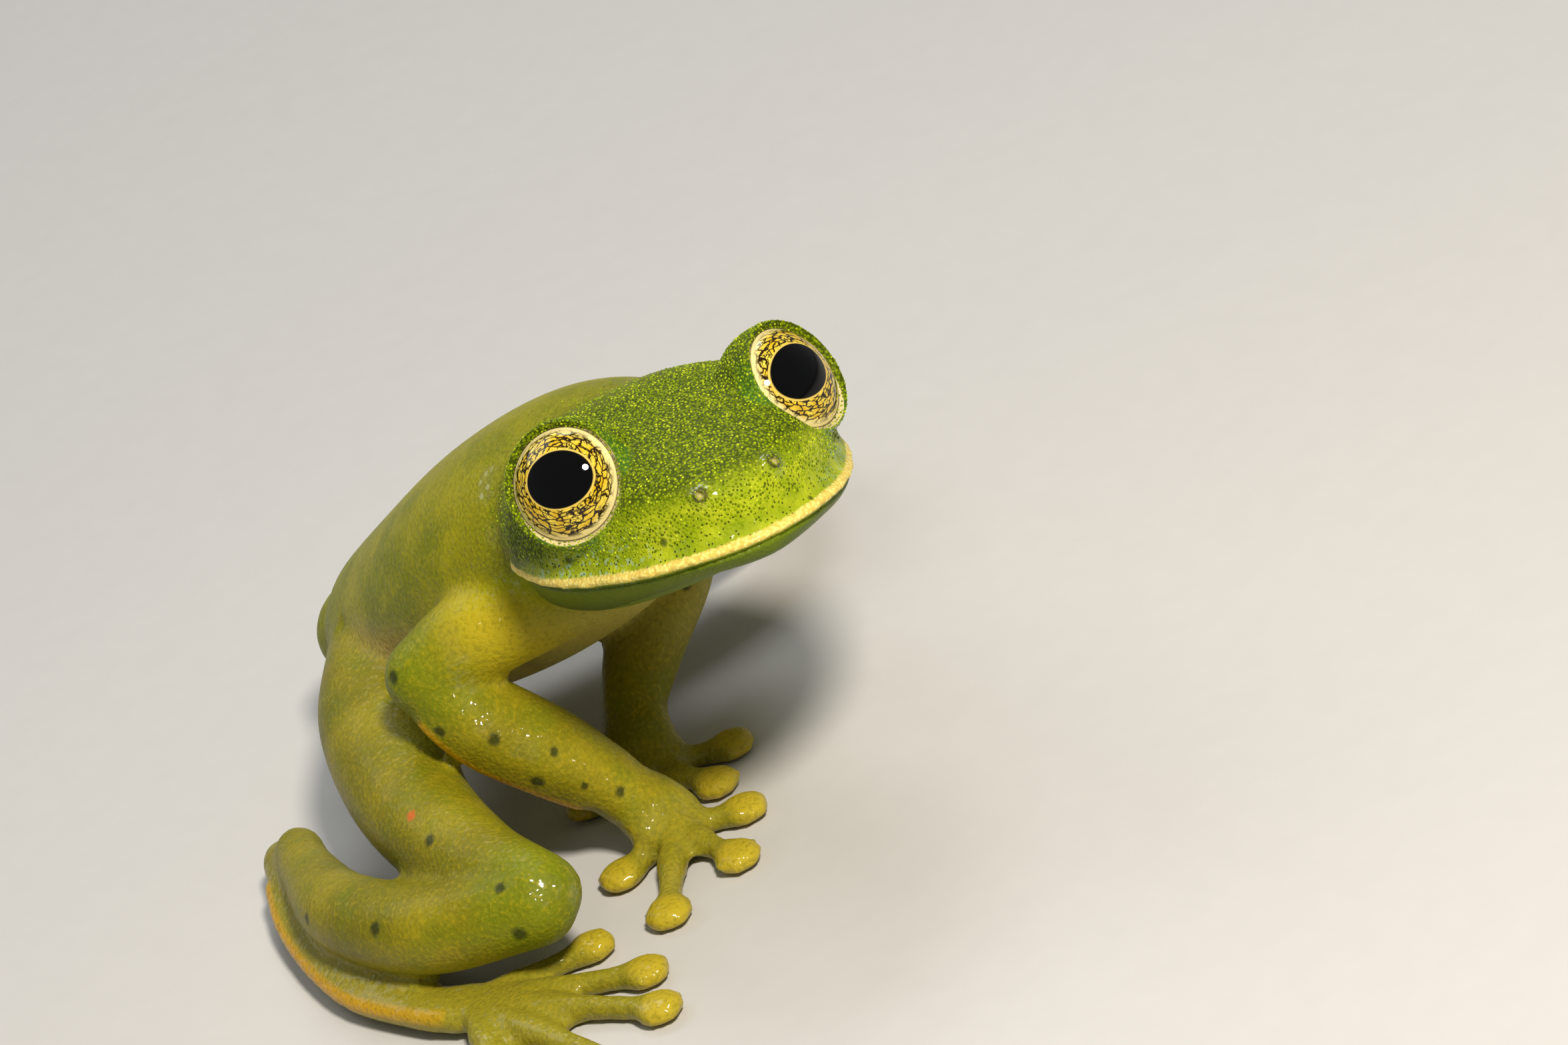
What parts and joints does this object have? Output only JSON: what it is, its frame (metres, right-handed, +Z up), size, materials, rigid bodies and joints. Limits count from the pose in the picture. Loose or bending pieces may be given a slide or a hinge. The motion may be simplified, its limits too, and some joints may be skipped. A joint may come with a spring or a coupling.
{
  "type": "glass frog, life-size museum model",
  "caption": "Green glass frog model sitting on the floor with raised head turned to its right, golden netted eyes with oval pupils, folded hind legs and disc-tipped toes.",
  "frame": {"origin": "centre of the frog's footprint box, on the floor that its hands and feet rest on", "axes": "+Z up, the body faces -Y, the frog's own left side is +X"},
  "size_m": [0.0314, 0.0276, 0.0145],
  "materials": {
    "crown": "slightly wet, finely granular",
    "body": "slightly wet skin",
    "throat": "smooth moist skin",
    "limbs": "smooth moist skin",
    "digits": "smooth moist translucent skin",
    "eye": "wet gloss"
  },
  "bodies": {
    "root": {"head": "crown", "lower_jaw": "throat", "torso": "body", "eye_left": "eye", "eye_right": "eye", "upper_arm_left": "limbs", "upper_arm_right": "limbs", "forearm_left": "limbs", "forearm_right": "limbs", "hand_left": "digits", "hand_right": "digits", "thigh_left": "limbs", "thigh_right": "limbs", "shank_left": "limbs", "shank_right": "limbs", "foot_left": "digits", "foot_right": "digits"}
  },
  "joints": []
}
